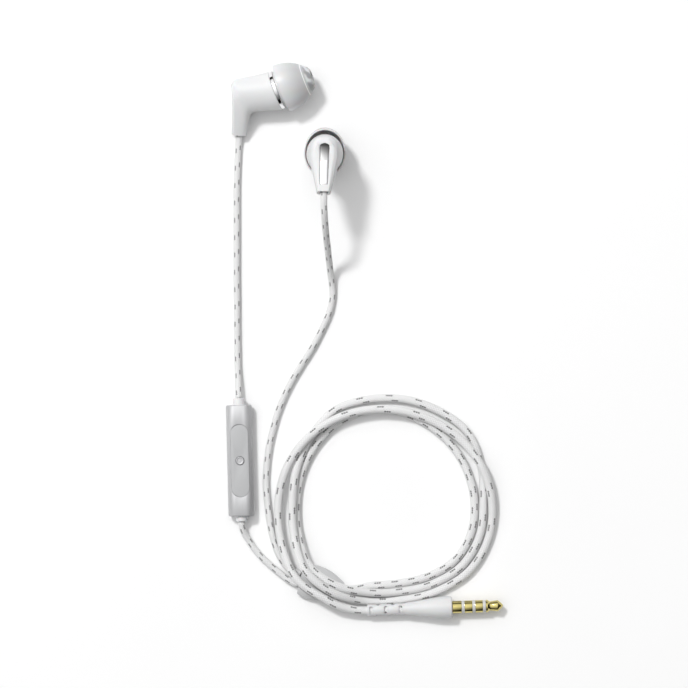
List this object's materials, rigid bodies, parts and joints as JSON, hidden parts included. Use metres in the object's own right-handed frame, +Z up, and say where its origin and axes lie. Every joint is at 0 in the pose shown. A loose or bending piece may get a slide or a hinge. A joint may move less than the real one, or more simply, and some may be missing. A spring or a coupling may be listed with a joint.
{
  "type": "wired earphones",
  "caption": "Wired in-ear earphones with angled earbuds, silicone tips, an inline talk remote, a cable splitter and a coiled braided cable to a slim audio plug.",
  "frame": {"origin": "on the surface the earphones lie on, under the middle of the box around the two earbuds", "axes": "+Y from the remote towards the earbuds, along their longer side; +Z up from the surface; +X to the right, from the left earbud towards the right one"},
  "size_m": [0.0774, 0.1549, 0.0251],
  "materials": {
    "white_shell": "satin white moulding",
    "brushed_inlay": "brushed along the stem",
    "chrome_trim": "polished",
    "screen_mesh": "fine woven mesh",
    "silicone": "translucent white silicone",
    "driver_metal": "plain pressed steel",
    "magnet": "plated",
    "diaphragm": "thin film",
    "grey_rubber": "matte",
    "satin_aluminium": "satin, brushed along its length",
    "grey_panel": "fine matte",
    "button_metal": "turned, satin",
    "black_plastic": "moulded",
    "circuit_board": "solder mask",
    "pale_shell": "satin light grey moulding",
    "white_boot": "soft white moulding",
    "gold": "polished gold plate",
    "insulator": "moulded rings",
    "braid": "woven white sleeve with dark flecks"
  },
  "bodies": {
    "headset": {"left_housing": "white_shell", "left_back_inlay": "brushed_inlay", "left_trim_ring": "chrome_trim", "left_nozzle": "white_shell", "left_nozzle_screen": "screen_mesh", "left_driver_frame": "driver_metal", "left_driver_magnet": "magnet", "left_diaphragm": "diaphragm", "left_stem_grommet": "grey_rubber", "right_housing": "white_shell", "right_back_inlay": "brushed_inlay", "right_trim_ring": "chrome_trim", "right_nozzle": "white_shell", "right_nozzle_screen": "screen_mesh", "right_driver_frame": "driver_metal", "right_driver_magnet": "magnet", "right_diaphragm": "diaphragm", "right_stem_grommet": "grey_rubber", "remote_body": "satin_aluminium", "remote_panel": "grey_panel", "remote_switch": "black_plastic", "remote_circuit_board": "circuit_board", "remote_microphone": "driver_metal", "remote_top_collar": "white_boot", "remote_bottom_collar": "white_boot", "splitter_top": "pale_shell", "splitter_bottom": "pale_shell", "splitter_core": "grey_rubber", "plug_boot": "white_boot", "plug_sleeve": "gold", "plug_ring_2": "gold", "plug_ring_1": "gold", "plug_tip": "gold", "plug_insulator": "insulator", "left_upper_cable": "braid", "left_lower_cable": "braid", "right_cable": "braid", "main_cable": "braid"},
    "call_button": {"remote_button": "button_metal"},
    "left_tip": {"left_ear_tip": "silicone"},
    "right_tip": {"right_ear_tip": "silicone"}
  },
  "joints": [
    {"name": "button_press", "type": "slide", "parent": "headset", "child": "call_button", "axis": [0, 0, -1], "range_m": [0, 0.0003], "stiffness_N_per_m": 5000},
    {"name": "left_tip_pull", "type": "slide", "parent": "headset", "child": "left_tip", "axis": [0.9345, 0.3401, 0.1045], "range_m": [0, 0.006]},
    {"name": "right_tip_pull", "type": "slide", "parent": "headset", "child": "right_tip", "axis": [0.0055, 0.2419, -0.9703], "range_m": [0, 0.006]}
  ]
}
